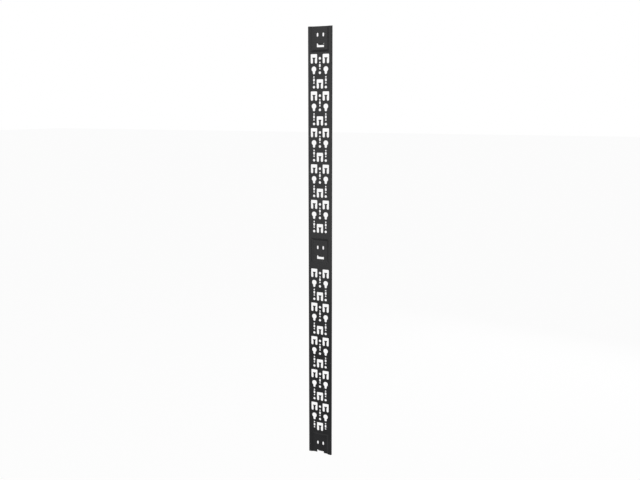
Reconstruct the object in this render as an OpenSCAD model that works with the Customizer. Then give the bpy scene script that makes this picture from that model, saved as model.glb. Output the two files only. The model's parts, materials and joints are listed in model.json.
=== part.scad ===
// Full-height vertical cable manager for a server rack: a perforated steel panel with folded
// edges, and three dished mounting plates that are spot-welded behind its windows.
// Millimetres. X across the panel, Z up, -Y is the front. The origin is on the rear face of the
// upper mounting plate, midway between its two fixing slots; the seats lie in the plane Y = 0.

/* [Panel] */
// Overall height of the panel
panel_h = 1913; // [1800:1:2100]
// Width over the folded edges
panel_w = 113.5; // [90:0.5:160]
// Depth from the front face to the rear edge of the folds
panel_d = 7; // [6:0.5:12]
// Sheet thickness of panel and plates
sheet = 1.5; // [1:0.1:2.5]
// Inside radius of every fold
fold_r = 1; // [0.5:0.1:2]

/* [Hole grid] */
// From the panel's top edge down to the first row of the grid
first_row = 133; // [100:1:180]
// Height of one unit of the repeating pattern
unit_pitch = 156; // [140:0.5:180]
// Units above, and units below, the middle mounting plate
units_per_group = 5; // [2:1:6]
// From the first row of the upper group to the first row of the lower group
group_step = 931.5; // [800:0.5:1100]
// The side columns' distance from the centre line
column_x = 28.3; // [20:0.1:40]
// Spacing of the rows of round holes and short slots inside a unit
row_step = 30; // [20:1:40]
// Diameter of the round holes
hole_dia = 11; // [8:0.1:14]
// Diameter of the small pilot holes
pilot_dia = 6.6; // [4:0.1:8]
// From a short slot's centre to the pilot hole above or below it
pilot_step = 12.7; // [10:0.1:14]
// Width of the short slots
short_slot_w = 8; // [5:0.1:9]
// Height of the short slots
short_slot_h = 13; // [10:0.1:20]

/* [Tie slots] */
// Width of the opening around a tie tongue
tie_w = 30.4; // [24:0.1:36]
// Height of the opening
tie_h = 39; // [30:0.5:50]
// Height of the opening above the tongue
tie_bar = 14.2; // [8:0.1:20]
// Width of the two legs of the opening
tie_leg = 10.7; // [6:0.1:13]
// Radius of the opening's upper corners
tie_corner_r = 3; // [1:0.5:5]
// Width of the tongue's head, which keeps a strap on
tongue_head_w = 14.4; // [10:0.1:20]
// Straight height of the head
tongue_head_h = 3; // [2:0.5:10]
// Height over which the head narrows to the stem
tongue_taper = 3.6; // [1:0.1:8]
// Height of an opening's top edge above its grid row
tie_rise = 17.9; // [10:0.1:25]
// Drop of the centre tie slot below its unit's first row
centre_tie_row = 105.3; // [90:0.1:120]
// The lowest centre tie slot sits this much higher, to clear the mounting plate
last_tie_lift = 10.5; // [0:0.5:20]

/* [Keyholes] */
// Diameter of the round entry
key_dia = 22.3; // [16:0.1:26]
// Width of the neck
key_neck = 11; // [7:0.1:14]
// Overall height of a keyhole
key_h = 32.4; // [26:0.1:40]
// From the grid row down to the centre of the entry
key_row = 44.6; // [40:0.1:60]

/* [Mounting plates] */
// Distance between the fixing levels of neighbouring plates
seat_pitch = 915.5; // [800:0.5:1100]
// From the panel's top edge down to the upper fixing slots
seat_drop = 34.8; // [25:0.1:50]
// Distance between the two fixing slots of a plate
fixing_x = 27.2; // [20:0.1:40]
// Width of a fixing slot
fixing_w = 7.4; // [5:0.1:9]
// Height of a fixing slot
fixing_h = 15.2; // [10:0.1:20]
// Width of the panel's window at a plate
window_w = 84; // [60:1:95]
// Slope's width around the plate's flat seat
slope_run = 9.5; // [4:0.5:14]
// Width of the welding rim behind the panel's sides
rim_side = 11; // [8:0.5:12]
// Width of the welding rim above or below a window
rim_end = 7; // [4:0.5:8]
// Upper plate: window's lower edge below its fixing level
upper_below = 71.6; // [60:0.1:90]
// Middle plate: window's upper edge above its fixing level
middle_above = 41.2; // [35:0.1:60]
// Middle plate: window's lower edge below its fixing level
middle_below = 65.2; // [60:0.1:90]
// Lower plate: window's upper edge above its fixing level
lower_above = 49.2; // [35:0.1:60]

/* [Hooks] */
// From the fixing level down to the top of the hook's opening
hook_drop = 35.9; // [28:0.1:45]
// Width of the hook's opening
hook_open_w = 33.4; // [28:0.1:40]
// Height of the hook's opening
hook_open_h = 15.6; // [12:0.1:22]
// Width of the hook
hook_w = 26.4; // [20:0.1:30]
// Clear gap between the seat and the hook's leg, which takes the rail
hook_gap = 4.8; // [2:0.1:8]
// From the top of the opening down to the tip of the hook
hook_reach = 7; // [5:0.5:14]

/* [Hidden] */
$fn = 48;
black = "#2c2c2e";
fold_out = fold_r + sheet;            // outside radius of a fold
over = 1;                             // how far a cutter runs past a face
front_y = -panel_d;                   // the panel's front face
web_back = front_y + sheet;           // the panel's rear face, and the front of the rims
floor_y = -sheet;                     // the front face of a plate's flat seat
top_z = seat_drop;                    // the panel's top edge
bottom_z = top_z - panel_h;           // the panel's bottom edge
row_z = top_z - first_row;            // the first grid row
hook_fold_z = -hook_drop;             // where a hook leaves its plate
slope_drop = floor_y - web_back;      // how deep the slope goes
slope_rate = slope_run / slope_drop;
slope_shift = sheet * tan(atan(slope_drop / slope_run) / 2);
rim_half = window_w / 2 + rim_side;
last_unit = 2 * units_per_group - 1;

// First row of unit k, counted from the top
function unit_z(k) = k < units_per_group
  ? row_z - k * unit_pitch
  : row_z - group_step - (k - units_per_group) * unit_pitch;

// Fixing level of plate i, counted from the top
function seat_z(i) = -i * seat_pitch;

// ---- small tools ----

// Stands a flat outline up: its X stays X, its Y becomes Z, and it is cut from y0 to y1
module upright(y0, y1) translate([0, y1, 0]) rotate([90, 0, 0]) linear_extrude(y1 - y0) children();

// A vertical slot with round ends, centred
module slot_outline(w, h) {
  square([w, h - w], center = true);
  for (s = [-1, 1]) translate([0, s * (h - w) / 2]) circle(d = w);
}

// A rectangle from z0 to z1 whose corners are round at the ends that are asked for
module round_plate(half_w, z0, z1, r_low, r_high) {
  translate([-half_w, z0 + r_low]) square([2 * half_w, z1 - z0 - r_low - r_high]);
  for (e = [[z0, r_low, 1], [z1, r_high, -1]]) if (e[1] > 0) {
    translate([-half_w + e[1], min(e[0], e[0] + e[2] * e[1])]) square([2 * (half_w - e[1]), e[1]]);
    for (s = [-1, 1]) translate([s * (half_w - e[1]), e[0] + e[2] * e[1]]) circle(r = e[1]);
  }
}

// ---- panel ----

// Half of the folded section, seen from above: web, outer fold and flange
module half_section() {
  translate([0, front_y]) square([panel_w / 2 - fold_out, sheet]);
  translate([panel_w / 2 - sheet, front_y + fold_out]) square([sheet, panel_d - fold_out]);
  translate([panel_w / 2 - fold_out, front_y + fold_out]) intersection() {
    difference() {
      circle(r = fold_out);
      circle(r = fold_r);
    }
    translate([0, -fold_out]) square(fold_out);
  }
}

module folded_sheet() translate([0, 0, bottom_z]) linear_extrude(panel_h) {
  half_section();
  mirror([1, 0]) half_section();
}

// The opening around a tongue: a bar over two legs; the head of the tongue reaches into the legs
module tie_outline() difference() {
  union() {
    translate([0, -tie_h]) {
      round_plate(tie_w / 2, tie_h - tie_bar, tie_h, 0, tie_corner_r);
      for (s = [-1, 1]) translate([s * (tie_w - tie_leg) / 2, 0]) {
        translate([-tie_leg / 2, tie_leg / 2]) square([tie_leg, tie_h - tie_bar - tie_leg / 2 + over]);
        translate([0, tie_leg / 2]) circle(d = tie_leg);
      }
    }
  }
  tongue_head();
}

module tongue_head() {
  stem = tie_w / 2 - tie_leg;
  head = tongue_head_w / 2;
  translate([0, -tie_bar]) polygon([
    [-head, 0], [head, 0], [head, -tongue_head_h], [stem, -tongue_head_h - tongue_taper],
    [-stem, -tongue_head_h - tongue_taper], [-head, -tongue_head_h]
  ]);
}

module web_cut(x, z) translate([x, 0, z]) upright(front_y - over, web_back + over) children();

module tie_slot(x, z) web_cut(x, z + tie_rise) tie_outline();

// Round entry on top, so a button drops into the neck and hangs
module keyhole_outline() {
  neck_end = key_dia / 2 - key_h + key_neck / 2;
  circle(d = key_dia);
  translate([0, neck_end]) circle(d = key_neck);
  translate([-key_neck / 2, neck_end]) square([key_neck, -neck_end]);
}

module keyhole(x, z) web_cut(x, z) keyhole_outline();

module round_hole(x, z, dia)
  translate([x, web_back + over, z]) rotate([90, 0, 0]) cylinder(h = sheet + 2 * over, d = dia);

// A short slot with a pilot hole above and below it
module slot_and_pilots(x, z) {
  web_cut(x, z) slot_outline(short_slot_w, short_slot_h);
  for (s = [-1, 1]) round_hole(x, z + s * pilot_step, pilot_dia);
}

module unit_openings(k) {
  z = unit_z(k);
  for (s = [-1, 1]) {
    tie_slot(s * column_x, z);
    keyhole(s * column_x, z - key_row);
    slot_and_pilots(s * column_x, z - 3 * row_step);
    if (k < last_unit) round_hole(s * column_x, z - 4 * row_step, hole_dia);
  }
  round_hole(0, z, hole_dia);
  slot_and_pilots(0, z - row_step);
  round_hole(0, z - 2 * row_step, hole_dia);
  tie_slot(0, z - centre_tie_row + (k == last_unit ? last_tie_lift : 0));
}

// The windows that the plates look through; the outer two are open at the panel's ends
module window(z0, z1) translate([-window_w / 2, front_y - over, z0])
  cube([window_w, sheet + 2 * over, z1 - z0]);

module panel() color(black) difference() {
  folded_sheet();
  for (k = [0 : last_unit]) unit_openings(k);
  window(seat_z(0) - upper_below, top_z + over);
  window(seat_z(1) - middle_below, seat_z(1) + middle_above);
  window(bottom_z - over, seat_z(2) + lower_above);
}

// ---- mounting plates ----

// The dish as a solid between z0 and z1: it narrows by the slope from y_wide to y_flat.
// At an open end, lean is 0 and the dish is cut off square.
module dish(y_wide, y_flat, shift, z0, z1, lean0, lean1) {
  wide = (y_flat - y_wide) * slope_rate;
  half = window_w / 2 - slope_run + shift;
  low = z0 + lean0 * (slope_run - shift);
  high = z1 - lean1 * (slope_run - shift);
  intersection() {
    translate([0, 0, z0 - wide]) linear_extrude(z1 - z0 + 2 * wide) polygon([
      [-half - wide, y_wide], [half + wide, y_wide], [half, y_flat], [-half, y_flat]
    ]);
    rotate([90, 0, 90]) translate([0, 0, -rim_half]) linear_extrude(2 * rim_half) polygon([
      [y_wide, low - lean0 * wide], [y_flat, low], [y_flat, high], [y_wide, high + lean1 * wide]
    ]);
  }
}

// A hook lanced from the plate and folded back, then down
module hook() {
  z_shelf = hook_fold_z - fold_r;
  leg_y = hook_gap;
  translate([-hook_w / 2, 0, 0]) rotate([90, 0, 90]) linear_extrude(hook_w) {
    translate([fold_r, hook_fold_z]) quarter_fold(180);
    translate([fold_r, z_shelf - sheet]) square([leg_y - 2 * fold_r, sheet]);
    translate([leg_y - fold_r, z_shelf - fold_out]) quarter_fold(0);
    translate([leg_y, hook_fold_z - hook_reach]) square([sheet, hook_reach - fold_r - fold_out]);
  }
}

// A quarter of a fold's ring, turned to start at the given angle
module quarter_fold(turn) rotate(turn) intersection() {
  difference() {
    circle(r = fold_out);
    circle(r = fold_r);
  }
  square(fold_out);
}

// A plate at its fixing level, with its window from -below to above.
// closed_low and closed_high are 1 where a slope and a rim close that end.
module mount_plate(below, above, closed_low, closed_high) color(black) {
  difference() {
    union() {
      upright(web_back, web_back + sheet) round_plate(
        rim_half, -below - closed_low * rim_end, above + closed_high * rim_end,
        closed_low * rim_end, closed_high * rim_end
      );
      dish(web_back, 0, slope_shift, -below, above, closed_low, closed_high);
    }
    dish(
      web_back - over, floor_y, 0,
      -below - (1 - closed_low) * over, above + (1 - closed_high) * over, closed_low, closed_high
    );
    for (s = [-1, 1]) fixing_slot(s * fixing_x / 2);
    translate([-hook_open_w / 2, floor_y - over, hook_fold_z - hook_open_h])
      cube([hook_open_w, sheet + 2 * over, hook_open_h]);
  }
  hook();
}

module fixing_slot(x) {
  run = (fixing_h - fixing_w) / 2;
  translate([x - fixing_w / 2, floor_y - over, -run]) cube([fixing_w, sheet + 2 * over, 2 * run]);
  for (s = [-1, 1]) translate([x, over, s * run]) rotate([90, 0, 0])
    cylinder(h = sheet + 2 * over, d = fixing_w);
}

module upper_mount_plate() mount_plate(upper_below, top_z, 1, 0);

module middle_mount_plate() translate([0, 0, seat_z(1)])
  mount_plate(middle_below, middle_above, 1, 1);

module lower_mount_plate() translate([0, 0, seat_z(2)])
  mount_plate(seat_z(2) - bottom_z, lower_above, 0, 1);

panel();
upper_mount_plate();
middle_mount_plate();
lower_mount_plate();
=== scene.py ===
"""Studio scene for the vertical cable manager: powder-coated sheet steel above a pale floor."""
import math

import bpy
from mathutils import Matrix, Vector
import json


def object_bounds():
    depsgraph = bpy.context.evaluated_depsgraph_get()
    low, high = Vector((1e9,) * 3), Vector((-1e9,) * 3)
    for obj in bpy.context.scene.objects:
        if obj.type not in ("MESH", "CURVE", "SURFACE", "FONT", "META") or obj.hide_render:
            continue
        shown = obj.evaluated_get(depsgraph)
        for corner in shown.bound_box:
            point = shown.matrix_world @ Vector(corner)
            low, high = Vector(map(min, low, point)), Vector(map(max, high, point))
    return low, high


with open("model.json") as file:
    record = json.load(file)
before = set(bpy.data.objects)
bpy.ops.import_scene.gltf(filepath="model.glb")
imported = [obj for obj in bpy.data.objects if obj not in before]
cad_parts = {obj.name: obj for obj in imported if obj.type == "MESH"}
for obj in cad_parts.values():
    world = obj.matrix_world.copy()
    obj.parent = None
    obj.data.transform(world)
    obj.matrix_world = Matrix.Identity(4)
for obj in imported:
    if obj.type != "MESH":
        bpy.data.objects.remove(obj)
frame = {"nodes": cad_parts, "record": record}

CAD_LOW, CAD_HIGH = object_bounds()
CENTRE = (CAD_LOW + CAD_HIGH) / 2
WHITE = (1.0, 1.0, 1.0, 1.0)

# ---- camera, in the part's own frame ----
CAMERA_AT = Vector((1.5048, -3.0721, -0.3016))
CAMERA_TURN = math.radians(26.14)      # to the left, away from looking straight at the panel
CAMERA_TILT = math.radians(-9.62)      # down
CAMERA_ROLL = math.radians(-0.026)
LENS = 44.17                           # millimetres, as the sensor's width
SENSOR_WIDTH = 36.0
CLIP_NEAR = 0.05
CLIP_FAR = 200.0

# ---- studio ----
FLOOR_GAP = 0.62                       # the part hangs this far above the floor
FLOOR_REACH = 60.0                     # from the part's middle to each edge of the floor
FLOOR_GREY = 0.9
FLOOR_ROUGH = 0.9
SHADOW_SHARE = 0.04                    # how much of the floor's look comes from the light on it
SKY_FILL = 0.15

# Each lamp faces the middle of the part. Angles are in degrees, with azimuth 0 in front of the
# panel and 90 to its right; distance, width and height are in metres, and power is in watts.
SOFTBOXES = {
    "key_softbox": {
        "azimuth": -4, "elevation": 12, "distance": 4.2, "width": 4.4, "height": 4.5, "power": 160
    },
    "rear_softbox": {
        "azimuth": 170, "elevation": 14, "distance": 4.2, "width": 3.6, "height": 4.0, "power": 110
    },
}

# ---- powder coat ----
COAT_BLACK = (0.010, 0.010, 0.011)
COAT_LIFT = (0.017, 0.017, 0.018)      # where the coat is thin and catches more light
COAT_SHINE = 0.14                      # specular level of the matt coat
COAT_SMOOTH = 0.20                     # lowest and highest roughness, which follow the clouds
COAT_ROUGH = 0.28
PEEL_PITCH = 0.0011                    # metres between the ripples of the orange peel
GRAIN_PITCH = 0.00028                  # metres between the grains of the matt finish
CLOUD_PITCH = 0.06                     # metres between slow changes of coat thickness
CLOUD_IN_TONE = 0.65                   # shares of the clouds and the grain in the change of colour
GRAIN_IN_TONE = 0.35
GRAIN_HEIGHT = 0.25                    # heights of grain and orange peel, as shares of the bump
PANEL_PEEL = 0.55
PLATE_PEEL = 0.45
BUMP_STRENGTH = 0.35
BUMP_DEPTH = 0.00006                   # metres
NOISE_LOW = 0.3                        # the middle stretch of a noise, where most of it lies
NOISE_HIGH = 0.7


# ---- node helpers ----

def add_node(tree, kind, **values):
    """Adds a node and sets its properties, or its inputs where the name is a socket's."""
    node = tree.nodes.new(kind)
    for name, value in values.items():
        if hasattr(node, name):
            setattr(node, name, value)
        else:
            node.inputs[name.replace("_", " ")].default_value = value
    return node


def noise(tree, place, pitch, detail, roughness=0.5):
    """A noise whose features are about one pitch apart."""
    node = add_node(tree, "ShaderNodeTexNoise", Scale=1.0 / pitch, Detail=detail, Roughness=roughness)
    tree.links.new(place, node.inputs["Vector"])
    return node.outputs["Fac"]


def spread(tree, share, low, high):
    """Spreads the middle stretch of a noise over low to high, which are numbers or sockets."""
    node = add_node(tree, "ShaderNodeMapRange", From_Min=NOISE_LOW, From_Max=NOISE_HIGH)
    for name, value in (("To Min", low), ("To Max", high)):
        if isinstance(value, float):
            node.inputs[name].default_value = value
        else:
            tree.links.new(value, node.inputs[name])
    tree.links.new(share, node.inputs["Value"])
    return node.outputs["Result"]


def choose(tree, share, first, second, surface):
    """Sends the first shader to the surface where the share is 0, and the second where it is 1."""
    either = tree.nodes.new("ShaderNodeMixShader")
    tree.links.new(share, either.inputs["Fac"])
    tree.links.new(first, either.inputs[1])
    tree.links.new(second, either.inputs[2])
    tree.links.new(either.outputs[0], surface)


def seen_directly(tree):
    """1 for rays from the camera, and for those that a gloss or a glass sends on."""
    path = tree.nodes.new("ShaderNodeLightPath")
    total = path.outputs["Is Camera Ray"]
    for name in ("Is Glossy Ray", "Is Transmission Ray"):
        either = add_node(tree, "ShaderNodeMath", operation="MAXIMUM")
        tree.links.new(total, either.inputs[0])
        tree.links.new(path.outputs[name], either.inputs[1])
        total = either.outputs[0]
    return total


# ---- powder coat ----

def powder_coat_group():
    """Cloudy coat thickness, orange peel and fine matt grain, all in the part's own metres."""
    group = bpy.data.node_groups.new("powder_coat", "ShaderNodeTree")
    for name, kind, value in (
        ("Deep Colour", "NodeSocketColor", (*COAT_BLACK, 1.0)),
        ("Thin Colour", "NodeSocketColor", (*COAT_LIFT, 1.0)),
        ("Smooth", "NodeSocketFloat", COAT_SMOOTH),
        ("Rough", "NodeSocketFloat", COAT_ROUGH),
        ("Peel Depth", "NodeSocketFloat", PANEL_PEEL),
    ):
        socket = group.interface.new_socket(name=name, in_out="INPUT", socket_type=kind)
        socket.default_value = value
    for name, kind in (
        ("Colour", "NodeSocketColor"), ("Roughness", "NodeSocketFloat"), ("Height", "NodeSocketFloat")
    ):
        group.interface.new_socket(name=name, in_out="OUTPUT", socket_type=kind)
    given = group.nodes.new("NodeGroupInput")
    result = group.nodes.new("NodeGroupOutput")
    place = group.nodes.new("ShaderNodeTexCoord").outputs["Object"]

    cloud = noise(group, place, CLOUD_PITCH, detail=3.0)
    peel = noise(group, place, PEEL_PITCH, detail=2.0, roughness=0.4)
    grain = noise(group, place, GRAIN_PITCH, detail=1.0)

    speckle = add_node(group, "ShaderNodeMath", operation="MULTIPLY_ADD")
    speckle.inputs[1].default_value = GRAIN_IN_TONE
    group.links.new(grain, speckle.inputs[0])
    cloud_share = add_node(group, "ShaderNodeMath", operation="MULTIPLY")
    cloud_share.inputs[1].default_value = CLOUD_IN_TONE
    group.links.new(cloud, cloud_share.inputs[0])
    group.links.new(cloud_share.outputs[0], speckle.inputs[2])

    tone = add_node(group, "ShaderNodeMix", data_type="RGBA")
    group.links.new(spread(group, speckle.outputs[0], 0.0, 1.0), tone.inputs["Factor"])
    group.links.new(given.outputs["Deep Colour"], tone.inputs["A"])
    group.links.new(given.outputs["Thin Colour"], tone.inputs["B"])
    tone_colour = [socket for socket in tone.outputs if socket.type == "RGBA"][0]
    group.links.new(tone_colour, result.inputs["Colour"])

    gloss = spread(group, cloud, given.outputs["Smooth"], given.outputs["Rough"])
    group.links.new(gloss, result.inputs["Roughness"])

    ripple = add_node(group, "ShaderNodeMath", operation="MULTIPLY")
    group.links.new(peel, ripple.inputs[0])
    group.links.new(given.outputs["Peel Depth"], ripple.inputs[1])
    height = add_node(group, "ShaderNodeMath", operation="MULTIPLY_ADD")
    height.inputs[1].default_value = GRAIN_HEIGHT
    group.links.new(grain, height.inputs[0])
    group.links.new(ripple.outputs[0], height.inputs[2])
    group.links.new(height.outputs[0], result.inputs["Height"])
    return group


def coated_steel(name, group, peel_depth):
    """Sheet steel under the black powder coat, which hides the metal."""
    material = bpy.data.materials.new(name)
    material.use_nodes = True
    tree = material.node_tree
    shader = tree.nodes["Principled BSDF"]
    shader.inputs["Metallic"].default_value = 0.0
    shader.inputs["Specular IOR Level"].default_value = COAT_SHINE
    coat = tree.nodes.new("ShaderNodeGroup")
    coat.node_tree = group
    coat.inputs["Deep Colour"].default_value = (*COAT_BLACK, 1.0)
    coat.inputs["Thin Colour"].default_value = (*COAT_LIFT, 1.0)
    coat.inputs["Peel Depth"].default_value = peel_depth
    bump = add_node(tree, "ShaderNodeBump", Strength=BUMP_STRENGTH, Distance=BUMP_DEPTH)
    tree.links.new(coat.outputs["Height"], bump.inputs["Height"])
    tree.links.new(coat.outputs["Colour"], shader.inputs["Base Color"])
    tree.links.new(coat.outputs["Roughness"], shader.inputs["Roughness"])
    tree.links.new(bump.outputs["Normal"], shader.inputs["Normal"])
    return material


def dress_nodes():
    """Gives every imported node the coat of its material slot."""
    group = powder_coat_group()
    coats = {
        "powder_coat_panel": coated_steel("panel_powder_coat", group, PANEL_PEEL),
        "powder_coat_plate": coated_steel("plate_powder_coat", group, PLATE_PEEL),
    }
    slot_of = {part["node"]: part["material_slot"] for part in frame["record"]["subparts"]}
    for name, piece in frame["nodes"].items():
        for place in piece.material_slots:
            place.material = coats[slot_of[name]]


# ---- studio ----

def make_camera():
    data = bpy.data.cameras.new("camera")
    data.lens = LENS
    data.sensor_width = SENSOR_WIDTH
    data.clip_start = CLIP_NEAR
    data.clip_end = CLIP_FAR
    camera = bpy.data.objects.new("camera", data)
    turn = (
        Matrix.Rotation(CAMERA_TURN, 4, "Z")
        @ Matrix.Rotation(math.pi / 2 + CAMERA_TILT, 4, "X")
        @ Matrix.Rotation(CAMERA_ROLL, 4, "Z")
    )
    camera.matrix_world = Matrix.Translation(CAMERA_AT) @ turn
    bpy.context.scene.collection.objects.link(camera)
    bpy.context.scene.camera = camera


def make_softbox(name, azimuth, elevation, distance, width, height, power):
    """A rectangular lamp that faces the middle of the part and doesn't show in the picture."""
    turn = math.radians(azimuth)
    rise = math.radians(elevation)
    away = Vector((
        math.sin(turn) * math.cos(rise), -math.cos(turn) * math.cos(rise), math.sin(rise)
    ))
    data = bpy.data.lights.new(name, "AREA")
    data.shape = "RECTANGLE"
    data.size = width
    data.size_y = height
    data.energy = power
    lamp = bpy.data.objects.new(name, data)
    lamp.location = CENTRE + away * distance
    lamp.rotation_mode = "QUATERNION"
    lamp.rotation_quaternion = away.to_track_quat("Z", "Y")
    lamp.visible_camera = False
    bpy.context.scene.collection.objects.link(lamp)


def make_world():
    """White where the camera looks straight at it, and a soft even fill for the part."""
    world = bpy.data.worlds.new("studio")
    bpy.context.scene.world = world
    world.use_nodes = True
    tree = world.node_tree
    fill = tree.nodes["Background"]
    fill.inputs["Color"].default_value = WHITE
    fill.inputs["Strength"].default_value = SKY_FILL
    white = add_node(tree, "ShaderNodeBackground", Color=WHITE, Strength=1.0)
    surface = tree.nodes["World Output"].inputs["Surface"]
    choose(tree, seen_directly(tree), fill.outputs[0], white.outputs[0], surface)


def floor_paint():
    """Nearly plain white to the camera, with a share left over that takes the part's shadow."""
    material = bpy.data.materials.new("pale_floor")
    material.use_nodes = True
    tree = material.node_tree
    shader = tree.nodes["Principled BSDF"]
    shader.inputs["Base Color"].default_value = (FLOOR_GREY, FLOOR_GREY, FLOOR_GREY, 1.0)
    shader.inputs["Roughness"].default_value = FLOOR_ROUGH
    white = add_node(tree, "ShaderNodeEmission", Color=WHITE, Strength=1.0)
    share = add_node(tree, "ShaderNodeMath", operation="MULTIPLY")
    share.inputs[1].default_value = 1.0 - SHADOW_SHARE
    tree.links.new(seen_directly(tree), share.inputs[0])
    surface = tree.nodes["Material Output"].inputs["Surface"]
    choose(tree, share.outputs[0], shader.outputs[0], white.outputs[0], surface)
    return material


def make_floor():
    z = CAD_LOW.z - FLOOR_GAP
    corners = [
        (CENTRE.x + side * FLOOR_REACH, CENTRE.y + end * FLOOR_REACH, z)
        for side, end in ((-1, -1), (1, -1), (1, 1), (-1, 1))
    ]
    mesh = bpy.data.meshes.new("floor")
    mesh.from_pydata(corners, [], [(0, 1, 2, 3)])
    mesh.materials.append(floor_paint())
    floor = bpy.data.objects.new("floor", mesh)
    bpy.context.scene.collection.objects.link(floor)


def build():
    make_camera()
    make_world()
    make_floor()
    for name, settings in SOFTBOXES.items():
        make_softbox(name, **settings)
    dress_nodes()
    bpy.context.scene.view_settings.view_transform = "Standard"


build()
